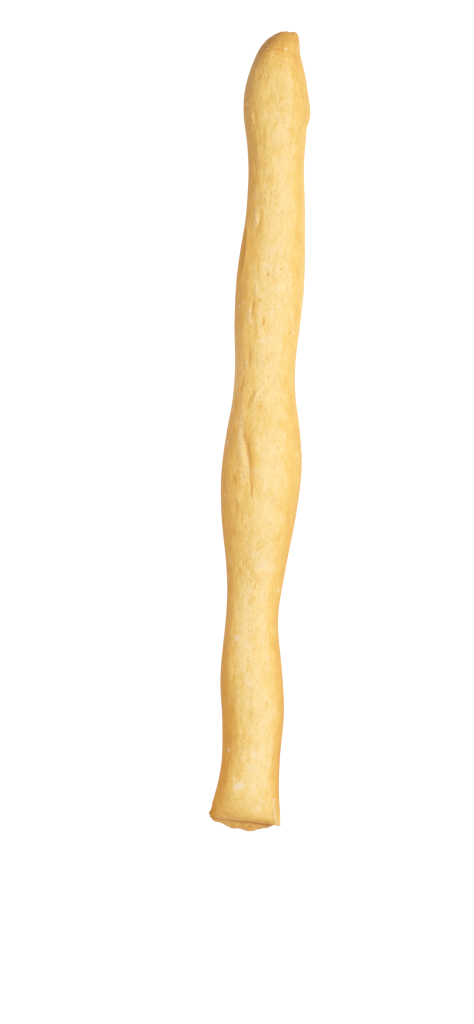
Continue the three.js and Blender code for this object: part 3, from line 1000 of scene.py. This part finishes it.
# The last of these, above the right end of the lip's crease, is painted shade.
# place across, place along, half width, half length, how much deeper the gold is
DEEPER = (
    (-2.6, -10.3, 1.0, 2.2, 0.1), (-2.3, -15.0, 1.8, 3.0, 0.06), (-0.5, 21.0, 1.0, 3.0, 0.07),
    (-0.2, 9.0, 1.2, 3.0, 0.04), (-0.3, -30.0, 1.5, 6.0, 0.05), (4.2, -6.0, 0.8, 2.0, 0.1),
    (0.5, 70.3, 2.0, 1.5, 0.08), (4.3, 38.0, 0.9, 14.0, 0.04), (3.8, -72.9, 1.5, 0.6, 0.3),
)

on_chopped = smooth_step(*CHOPPED_PLACES, y)
# Deeper gold, with painted shade and painted light added as they are named.
baked_and_painted_light = BAKED_KNOB * on_knob + TIP_PAINTED_SHADE * smooth_step(*TIP_PLACES, y) * (1 - TIP_RIGHT * rightward)
baked_and_painted_light += shade_beside_fold - LIP_PAINTED_LIGHT * near_lip
baked_and_painted_light += on_chopped * (CHOPPED_LEFT_PAINTED_SHADE * leftward**2 - CHOPPED_RIGHT_PAINTED_LIGHT * halfway(rightward))
baked_and_painted_light -= WAIST_PAINTED_LIGHT * halfway(leftward) * bell((y - WAIST[0]) / WAIST[1])
baked_and_painted_light -= PALE_KNOB * halfway(leftward) * on_knob
baked_and_painted_light -= RIGHT_EDGE_PAINTED_LIGHT * rightward**6 * smooth_step(*RIGHT_EDGE_LIGHT_PLACES, y)
for *oval, depth in DEEPER:
    baked_and_painted_light += depth * bell(from_oval(*oval)) * faces_up
keep("baked_and_painted_light", baked_and_painted_light)
print("gold, from palest to deepest:", round(float(baked_and_painted_light.min()), 2), "to", round(float(baked_and_painted_light.max()), 2))

# %% Orange sides with painted warm shade, paler edges with painted light on the right, and slanted wrinkles
ORANGE_SIDE_AND_WARM_SHADE = 0.8
ORANGE_PLACES = (-30, -65)
ORANGE_CORNER = 1.0
CORNER_ACROSS = (-5.1, -6.5)
CORNER_ALONG = (-66, -70)
PALE_LEFT_EDGE = 0.5
LEFT_EDGE = (10, 9)  # middle and reach, along the stick
RIGHT_RIM_PAINTED_LIGHT = 0.25
RIGHT_EDGE_PLACES = (-30, 0)
SLANTED_OVAL = (-1.2, -28, 2.4, 6)

# On the left, the side away from the lamp, this orange is partly painted warm shade.
orange_side_and_warm_shade = ORANGE_SIDE_AND_WARM_SHADE * (leftward**3 + rightward**6) * smooth_step(*ORANGE_PLACES, y)
squeezed_corner = smooth_step(*CORNER_ACROSS, x) * smooth_step(*CORNER_ALONG, y)
paled_and_lit = np.maximum(paled_and_lit, PALE_LEFT_EDGE * leftward**3 * bell((y - LEFT_EDGE[0]) / LEFT_EDGE[1]))
# The right edge is made paler: painted light.
paled_and_lit = np.maximum(paled_and_lit, RIGHT_RIM_PAINTED_LIGHT * rightward**8 * smooth_step(*RIGHT_EDGE_PLACES, y))
keep("orange_and_warm_shade", np.maximum(orange_side_and_warm_shade, ORANGE_CORNER * squeezed_corner))
keep("paled_and_lit", paled_and_lit)
keep("slanted", bell(from_oval(*SLANTED_OVAL)) * faces_up)
kept_names = [attribute.name for attribute in crust.data.attributes if attribute.data_type == "FLOAT"]
print("kept for the material:", kept_names)

# %% [markdown]
# ## Writing a material as sums
#
# A material is a net of nodes, and a long net is hard to read as clicks. The class below wraps one socket,
# so that sums and products can be written as they are on paper, and each adds its own node. Most of them
# are masks: numbers from 0 to 1 that say where a colour goes. A mask that rises from a high value to a low
# one falls instead.


# %% A wire that can be calculated with
class Wire:
    """One value in a material. Arithmetic with it adds Math nodes."""

    def __init__(self, tree, socket=None):
        self.tree = tree
        self.socket = socket

    def node(self, kind, settings=None, sockets=None, output=0):
        """Adds any node: first its settings, then the values or links of its sockets."""
        made = self.tree.nodes.new(kind)
        for name, value in (settings or {}).items():
            if name == "stops":
                for number, (stop, colour) in enumerate(value):
                    ramp_stops = made.color_ramp.elements
                    element = ramp_stops[number] if number < 2 else ramp_stops.new(stop)
                    element.position = stop
                    element.color = colour
            else:
                setattr(made, name, value)
        for name, value in (sockets or {}).items():
            if isinstance(value, Wire):
                self.tree.links.new(value.socket, made.inputs[name])
            else:
                made.inputs[name].default_value = value
        return Wire(self.tree, made.outputs[output])

    def math(self, operation, *values):
        """A Math node that works on these values."""
        return self.node("ShaderNodeMath", {"operation": operation}, dict(enumerate(values)))

    def __add__(self, other):
        return self.math("ADD", self, other)

    def __sub__(self, other):
        return self.math("SUBTRACT", self, other)

    def __mul__(self, other):
        return self.math("MULTIPLY", self, other)

    __radd__ = __add__
    __rmul__ = __mul__

    def __rsub__(self, other):
        return self.math("SUBTRACT", other, self)

    def rising(self, low, high):
        """0 below low, 1 above high, and a smooth rise between them."""
        return self.node(
            "ShaderNodeMapRange",
            {"interpolation_type": "SMOOTHSTEP"},
            {"Value": self, "From Min": low, "From Max": high},
        )

    def stretched(self, across, along, up):
        """A place, scaled along each axis."""
        scales = (across, along, up)
        return self.node("ShaderNodeVectorMath", {"operation": "MULTIPLY"}, {0: self, 1: scales})

    def noise(self, size, detail=2):
        """Soft noise at a place given in millimetres, with spots of about this size."""
        return self.node("ShaderNodeTexNoise", None, {"Vector": self, "Scale": 1 / size, "Detail": detail})

    def blended(self, colour, share):
        """This colour, with a share of another over it."""
        return self.node("ShaderNodeMix", {"data_type": "RGBA"}, {0: share, 6: self, 7: colour}, output=2)


# %% [markdown]
# ## Baked crust
#
# Baked crust takes its colour from the oven. Its top is pale gold, its sides are a deeper gold, and where it
# touched the tray it is toffee brown. So one ramp of colours, read by how far the crust faces up, gives the
# ground colour, and the right side is made paler on top of it: painted light. Over that lie small uneven
# things, each blended in by its own mask: freckles, pits and bloom, threads and wrinkles from rolling, the
# orange sides (partly painted warm shade), the tray's brown, pale ridges, toasted places with painted shade,
# folds browned with painted shade, pores, the cut with the painted shade of its crease and, on top of all,
# flour.

# %% Where on the crust
OPAQUE = 1.0
crust_material = bpy.data.materials.new("baked_crust")
crust_material.use_nodes = True
tree = crust_material.node_tree
shader = tree.nodes["Principled BSDF"]
start = Wire(tree)
place = start.node("ShaderNodeTexCoord", output="Object").stretched(1 / MM, 1 / MM, 1 / MM)
crosswise = place.node("ShaderNodeSeparateXYZ", None, {0: place}, "X")
lengthwise = place.node("ShaderNodeSeparateXYZ", None, {0: place}, "Y")
facing = start.node("ShaderNodeNewGeometry", output="Normal")
up = start.node("ShaderNodeSeparateXYZ", None, {0: facing}, output="Z")
rightwards = start.node("ShaderNodeSeparateXYZ", None, {0: facing}, output="X")


def mark(name):
    """One of the crust's attributes."""
    return start.node("ShaderNodeAttribute", {"attribute_name": name}, output="Fac")


print("the material starts with", len(tree.nodes), "nodes")

# %% The oven's colours
TRAY_BROWN = (0.55, 0.27, 0.07, OPAQUE)
CONTACT_BROWN = (0.36, 0.16, 0.05, OPAQUE)
LIGHTEST = 1.3
CRUST_TONES = (  # how far the crust faces up, and its colour there
    (0.1, (0.63, 0.30, 0.045, OPAQUE)),
    (0.3, (0.675, 0.347, 0.062, OPAQUE)),
    (0.46, (0.726, 0.385, 0.076, OPAQUE)),
    (0.6, (0.768, 0.452, 0.105, OPAQUE)),
    (0.72, (0.794, 0.506, 0.131, OPAQUE)),
    (0.84, (0.818, 0.557, 0.17, OPAQUE)),
    (0.92, (0.836, 0.59, 0.214, OPAQUE)),
    (1.0, (0.849, 0.626, 0.271, OPAQUE)),
    (LIGHTEST, (0.87, 0.70, 0.42, OPAQUE)),
)
PALE_GOLD = (0.86, 0.70, 0.44, OPAQUE)
# Brown for the fold lines, where it is painted shade in the crease, and for the threads and slanted
# wrinkles.
FOLD_SHADE_AND_THREAD_BROWN = (0.60, 0.28, 0.04, OPAQUE)
PORE_ORANGE = (0.74, 0.36, 0.035, OPAQUE)
# Orange for the sides near the chopped end, on the left partly painted warm shade.
ORANGE_AND_WARM_SHADE = (0.64, 0.27, 0.02, OPAQUE)
CUT_BROWN = (0.65, 0.32, 0.07, OPAQUE)
CUT_GOLD = (0.75, 0.43, 0.115, OPAQUE)
# Painted shade for the crease under the upper lip and painted shadow under its right end; also the brown of
# the lower lip's rim.
CREASE_SHADE_AND_RIM_BROWN = (0.50, 0.22, 0.045, OPAQUE)
RIM_GOLD = (0.90, 0.53, 0.12, OPAQUE)
# Toast brown: the knob's real toast, and the painted shade on the left side and the lobe.
TOAST_AND_SHADE_BROWN = (0.39, 0.245, 0.10, OPAQUE)
# Scorch brown, also used for painted shade at the tip and painted shadow under the lip.
SCORCH_AND_SHADE_BROWN = (0.33, 0.145, 0.03, OPAQUE)
FRECKLE_BROWN = (0.6, 0.31, 0.08, OPAQUE)
PIT_BROWN = (0.48, 0.31, 0.14, OPAQUE)
BLOOM = (0.93, 0.81, 0.62, OPAQUE)
FLOUR_WHITE = (0.85, 0.73, 0.56, OPAQUE)
print("tones of the crust:", len(CRUST_TONES))

# %% [markdown]
# Noise makes a colour uneven. Each kind below has its own size of spots. Places that are squeezed along the
# stick give spots that are drawn out, as rolling draws them, and places that lean give slanted ones.
#
# Noise runs from 0 to 1 and is mostly near a half. So a mask that rises from 0.5 to 0.75 picks its high
# spots, and one that goes from 0.5 down to 0.25 picks its low ones. The numbers in the masks further on are
# such pairs. The closer together they are, the sharper is the edge of a spot.

# %% Noise for everything that is uneven
ROLLED = 0.2  # noise squeezed to this share along the stick comes out five times as long
LEAN = 0.23  # the wrinkles in one field lean this much to the left
KNOB_LEAN = -0.45  # and those on the knob to the right


def leaning(lean, size):
    """Noise in long thin spots that lean by this much across, for each step along the stick."""
    leant = crosswise + lengthwise * lean
    return start.node("ShaderNodeCombineXYZ", None, {0: leant, 1: lengthwise * ROLLED}).noise(size)


patches = place.stretched(1, 0.7, 1).noise(1.8)
streaks = place.stretched(1, ROLLED, 1).noise(0.5, 3)
grain = place.noise(0.35)
fine = place.stretched(1, 0.45, 1).noise(0.42, 3)
slanted = leaning(LEAN, 0.3)
strokes = leaning(KNOB_LEAN, 0.45)
threads = place.stretched(1, 0.14, 1).noise(0.4)
pits = place.noise(0.28)
dots = place.noise(0.5, 1)
cross_wrinkles = place.stretched(0.5, 1, 1).noise(0.4, 3)
crumbs = place.noise(0.6, 4)
flour_grain = place.noise(0.45, 3)
print("with noise:", len(tree.nodes), "nodes")

# %% [markdown]
# The ground colour goes by how far the crust faces up. Noise shifts that up and down, so the colours meet in
# uneven borders, as they do in an oven. The right side, which faces the lamp, is made paler: painted light.

# %% The ground colour, and painted light on the right side
PATCHES = 0.4  # how much each kind of noise shifts the tone
STREAKS = 0.35
GRAIN = 0.15
WRINKLES = 1.05
STROKES = 0.35
KNOB_PLACES = (50, 58)
# Painted light: the right side, which faces the lamp, its shoulder and its very edge are made paler.
LIT_SIDE = 0.17  # how much paler the side to the right is, and its very edge once more
LIT_EDGE = (0.8, 1.0)
LIT_SHOULDER = 0.04  # between the crown and that side
SHOULDER_START = (0.0, 0.3)
SHOULDER_END = (0.75, 0.5)

over_knob = lengthwise.rising(*KNOB_PLACES)
shift = (patches - 0.5) * PATCHES + (streaks - 0.5) * STREAKS + (grain - 0.5) * GRAIN
shift = shift + (slanted - 0.5) * mark("slanted") * WRINKLES + (strokes - 0.5) * over_knob * STROKES
painted_light_side = rightwards * LIT_SIDE + rightwards.rising(*LIT_EDGE) * LIT_SIDE
on_shoulder = rightwards.rising(*SHOULDER_START) * rightwards.rising(*SHOULDER_END)
painted_light_side = painted_light_side + on_shoulder * LIT_SHOULDER
tone = (up + painted_light_side + shift - mark("baked_and_painted_light")) * (1 / LIGHTEST)
tone_stops = [(tone_share / LIGHTEST, colour) for tone_share, colour in CRUST_TONES]
colour = tone.node("ShaderNodeValToRGB", {"stops": tone_stops}, {"Fac": tone}, "Color")
print("with the ground colour:", len(tree.nodes), "nodes")

# %% Freckles, pits, bloom and small orange dots
FRECKLES = 0.2  # how much of each kind shows
PITS = 0.2
BLOOMS = 0.1
DOTS = 0.35

dotted = place.noise(6, 1).rising(0.4, 0.6)
specks = pits.rising(0.5, 0.75) * BLOOMS + dots.rising(0.6, 0.75) * dotted * DOTS
colour = colour.blended(FRECKLE_BROWN, fine.rising(0.52, 0.25) * FRECKLES)
colour = colour.blended(PIT_BROWN, pits.rising(0.5, 0.25) * PITS)
colour = colour.blended(BLOOM, specks * up.rising(0.5, 0.95))
colour = colour.blended(PORE_ORANGE, dots.rising(0.38, 0.26) * dotted * DOTS)
print("with specks:", len(tree.nodes), "nodes")

# %% [markdown]
# Rolling leaves lines. On the left the skin was drawn into fine threads, dark ones and pale ones: clearly
# from the belly up to the tip, not at all in the waist below it, and again towards the chopped end. In one
# field the wrinkles lie slanted. The sides near the chopped end are orange, and on the left, the side away
# from the lamp, that orange is partly painted warm shade. The underside is browned by the tray, most in the
# patches that lay right on it.

# %% Threads, slanted wrinkles, orange sides and the tray's brown
THREADS = 0.4  # how dark the dark ones are
PALE_THREADS = 0.5  # how pale the pale ones are, as a share of that
BELLY_THREADS = (-45, -25)  # they start at the first place along the stick, and are whole from the second
CHOPPED_THREADS = (-46, -52)
LAST_THREADS = (-58, -68)
CHOPPED_SHARE = 0.4
LAST_SHARE = 0.7
LEFT_SIDE = (0.0, -0.4)
SLANTED_BROWN = 0.3
TRAY_EDGE = (0.1, -0.5)  # from the first to the second, the crust turns from its tone to the tray's brown
RIGHT_ON_TRAY = (-0.75, -1.0)
CONTACT = 0.7

threaded = lengthwise.rising(*BELLY_THREADS) + lengthwise.rising(*CHOPPED_THREADS) * CHOPPED_SHARE
threaded = (threaded + lengthwise.rising(*LAST_THREADS) * LAST_SHARE) * rightwards.rising(*LEFT_SIDE)
in_contact = up.rising(*RIGHT_ON_TRAY) * patches.rising(0.4, 0.6)
colour = colour.blended(FOLD_SHADE_AND_THREAD_BROWN, threads.rising(0.43, 0.3) * threaded * THREADS)
colour = colour.blended(PALE_GOLD, threads.rising(0.57, 0.7) * threaded * THREADS * PALE_THREADS)
colour = colour.blended(FOLD_SHADE_AND_THREAD_BROWN, slanted.rising(0.44, 0.3) * mark("slanted") * SLANTED_BROWN)
# Orange sides, on the left partly painted warm shade.
colour = colour.blended(ORANGE_AND_WARM_SHADE, mark("orange_and_warm_shade"))
colour = colour.blended(TRAY_BROWN, (up + shift).rising(*TRAY_EDGE))
colour = colour.blended(CONTACT_BROWN, in_contact * CONTACT)
print("with the sides:", len(tree.nodes), "nodes")

# %% [markdown]
# Now come the marks that were kept on the crust. Ridges are paler, in fine stripes across them; the pale
# line along the upper lip is a painted highlight, and the paler right edge is painted light. Toasted and
# scorched places are speckled; they also carry painted shade on the left, at the tip and under the lip. A
# fold's line is browned, as painted shade in its crease, and on its steep side runs a thin rim of bright
# gold. Noise is added to the distances before they are read, so that no line looks drawn with a pen and no
# pore is a perfect dot.

# %% Pale ridges and painted light, toasted places and painted shade, folds and pores
RIDGE_PALE = 0.7
RIDGE_LEAST = 0.15  # a ridge is this pale between its stripes too
SPECKLE_LEAST = 0.5
RIM_SHARE = 0.5
LINE_SHARE = 0.85
PORE_SHARE = 0.88
UNEVEN_LINE = 0.5
UNEVEN_PORE = 0.8
LINE_START = (-0.3, 0.15)  # distances from a fold, in widths of its line, and to its left
LINE_END = (1.9, 0.5)
RIM_START = (-1.8, -0.7)
RIM_END = (0.1, -0.4)
PORE_EDGE = (1.7, 0.7)  # in sizes of the pore

pale = mark("paled_and_lit") * (RIDGE_LEAST + cross_wrinkles.rising(0.35, 0.65))
speckled = pits.rising(0.65, 0.35) + SPECKLE_LEAST
from_fold = mark("line_left") + (streaks - 0.5) * UNEVEN_LINE
in_shaded_line = from_fold.rising(*LINE_START) * from_fold.rising(*LINE_END) * mark("fold_line_shade")
in_rim = from_fold.rising(*RIM_START) * from_fold.rising(*RIM_END) * mark("fold_line_shade")
pore = (mark("pores_away") + grain * UNEVEN_PORE).rising(*PORE_EDGE) * mark("pores")
# Pale ridges, the painted highlight on the upper lip and the painted light on the right edge.
colour = colour.blended(PALE_GOLD, pale * RIDGE_PALE)
# Toast, with the painted shade of the left side and the lobe.
colour = colour.blended(TOAST_AND_SHADE_BROWN, mark("toasted_and_shaded") * speckled)
# Scorch, with painted shade at the tip and painted shadow under the lip.
colour = colour.blended(SCORCH_AND_SHADE_BROWN, mark("scorched_and_shaded") * speckled)
colour = colour.blended(RIM_GOLD, in_rim * RIM_SHARE)
# Fold lines: painted shade in the creases.
colour = colour.blended(FOLD_SHADE_AND_THREAD_BROWN, in_shaded_line * LINE_SHARE)
colour = colour.blended(PORE_ORANGE, pore * PORE_SHARE)
print("with folds and pores:", len(tree.nodes), "nodes")

# %% [markdown]
# The cut went into the oven without a skin, so it is browner than the crust, with crumbs of gold. It is
# darker along the rim of the lower lip, and darkest in the crease under the upper lip and at its right end
# under the lip: painted shade and painted shadow there.

# %% The cut, and the painted shade of the crease under the upper lip
LIP_EDGE = (-0.02, 0.06)  # distances beyond the upper lip
CREASE_START = (-0.08, 0.05)
CREASE_END = (0.0, -0.35)
CREASE_LEFT = 0.3  # how wide the crease is at the left end of the mouth
CREASE_WIDER = 0.22  # how much wider it is from the middle to the right end
CREASE_WIDENS = (-4.0, -1.0)  # places across
CREASE_SHARE = 0.95
RIM_EDGE = (0.35, 0.0)  # distances above the lower lip
RIM_BROWN = 0.5
RIGHT_END = (2.2, 5.0)
RIGHT_END_SHADOW = 0.45

beyond = mark("beyond_lip")
on_cut = beyond.rising(*LIP_EDGE) * mark("forward")
crease_width = CREASE_LEFT + crosswise.rising(*CREASE_WIDENS) * CREASE_WIDER
# Painted shade in the crease under the upper lip, where the lip overhangs.
crease_shade = beyond.rising(*CREASE_START) * (beyond - crease_width).rising(*CREASE_END) * mark("forward")
rim = mark("above_rim").rising(*RIM_EDGE)
right_end_shadow = crosswise.rising(*RIGHT_END)
colour = colour.blended(CUT_BROWN, on_cut)
colour = colour.blended(CUT_GOLD, on_cut * crumbs.rising(0.42, 0.62))
# The rim of the lower lip is darker, and the right end under the lip gets painted shadow.
colour = colour.blended(CREASE_SHADE_AND_RIM_BROWN, on_cut * (rim * RIM_BROWN + right_end_shadow * RIGHT_END_SHADOW))
colour = colour.blended(CREASE_SHADE_AND_RIM_BROWN, crease_shade * CREASE_SHARE)
print("with the cut:", len(tree.nodes), "nodes")

# %% Flour, on top of everything
FLOUR_SHARE = 0.75
UNEVEN_FLOUR = 1.6
FLOUR_EDGE = (2.2, 0.8)  # in sizes of the spot

dusted = (mark("flour_away") + flour_grain * UNEVEN_FLOUR).rising(*FLOUR_EDGE) * mark("flour")
colour = colour.blended(FLOUR_WHITE, dusted * FLOUR_SHARE)
tree.links.new(colour.socket, shader.inputs["Base Color"])
print("with flour:", len(tree.nodes), "nodes")

# %% [markdown]
# The skin is dry, so it hardly shines, least of all where flour lies on it. Wrinkles that are too small for
# the mesh are given to the light alone, by a Bump node: its height is one more sum of the noises and masks.
# Each height below is a share of the wrinkles' full height.

# %% Finish: a dry skin with fine wrinkles
WRINKLE_HEIGHT = 0.16  # millimetres
GRAIN_HEIGHT = 0.5
STRIPE_HEIGHT = 1.2
LINE_DEPTH = 0.2
PORE_DEPTH = 0.25
FLOUR_HEIGHT = 0.3
THREAD_HEIGHT = 0.8
ROUGHNESS = 0.45
ROUGHER_PATCHES = 0.12  # how much rougher the patches make it
ROUGHER_FLOUR = 0.2
SHINE = 0.12

heights = fine + grain * GRAIN_HEIGHT + cross_wrinkles * mark("paled_and_lit") * STRIPE_HEIGHT
heights = heights + slanted * mark("slanted") * STRIPE_HEIGHT
heights = heights - in_shaded_line * LINE_DEPTH - pore * PORE_DEPTH + dusted * FLOUR_HEIGHT
heights = heights + crumbs * on_cut + threads * threaded * THREAD_HEIGHT
roughness = patches * ROUGHER_PATCHES + dusted * ROUGHER_FLOUR + ROUGHNESS
bumps = start.node(
    "ShaderNodeBump", None, {"Height": heights, "Distance": WRINKLE_HEIGHT * MM, "Strength": 1.0}
)
tree.links.new(roughness.socket, shader.inputs["Roughness"])
tree.links.new(bumps.socket, shader.inputs["Normal"])
shader.inputs["Specular IOR Level"].default_value = SHINE
crust.data.materials.append(crust_material)
print("nodes in the crust's material:", len(tree.nodes))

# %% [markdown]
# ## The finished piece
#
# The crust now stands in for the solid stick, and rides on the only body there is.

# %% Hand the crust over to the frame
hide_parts(SOLID)
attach(crust, "root")
print(crust.name, "stands for", SOLID)

# %% [markdown]
# ## Floor and light
#
# Pale food on white needs light that is almost everywhere: a bright sky all round, a floor that glows as
# the paper on a light table does, so that no shadow darkens it, and one large soft lamp from the upper
# right that gives the roundness its shade.

# %% Floor
FLOOR_SIZE = 12
PAPER_GLOW = 0.965  # how brightly it glows
PAPER_GREY = 0.2  # what the paper throws back of the light on it

bpy.ops.object.select_all(action="DESELECT")
bpy.ops.mesh.primitive_plane_add(size=FLOOR_SIZE, location=(0, 0, 0))
floor = bpy.context.object
floor.name = "floor"
floor_material = bpy.data.materials.new("white_paper")
floor_material.use_nodes = True
paper = floor_material.node_tree.nodes["Principled BSDF"]
paper.inputs["Base Color"].default_value = (PAPER_GREY, PAPER_GREY, PAPER_GREY, OPAQUE)
paper.inputs["Roughness"].default_value = 1.0
paper.inputs["Specular IOR Level"].default_value = 0.0
paper.inputs["Emission Color"].default_value = (1, 1, 1, OPAQUE)
paper.inputs["Emission Strength"].default_value = PAPER_GLOW
floor.data.materials.append(floor_material)
print("floor, m:", FLOOR_SIZE)

# %% Light
SKY = 0.79  # how bright the sky is
LAMP_PLACE = Vector((0.42, 0.1, 0.9))
LAMP_SIZE = 0.8
LAMP_POWER = 4.8  # watts

world = bpy.data.worlds.new("studio")
bpy.context.scene.world = world
world.use_nodes = True
world.node_tree.nodes["Background"].inputs["Color"].default_value = (1, 1, 1, OPAQUE)
world.node_tree.nodes["Background"].inputs["Strength"].default_value = SKY
bpy.ops.object.light_add(type="AREA", location=LAMP_PLACE)
lamp = bpy.context.object
lamp.name = "soft_lamp"
lamp.data.size = LAMP_SIZE
lamp.data.energy = LAMP_POWER
lamp.rotation_euler = LAMP_PLACE.to_track_quat("Z", "Y").to_euler()
bpy.context.scene.view_settings.view_transform = "Standard"
print("lamp is", round(LAMP_PLACE.length, 2), "m away")
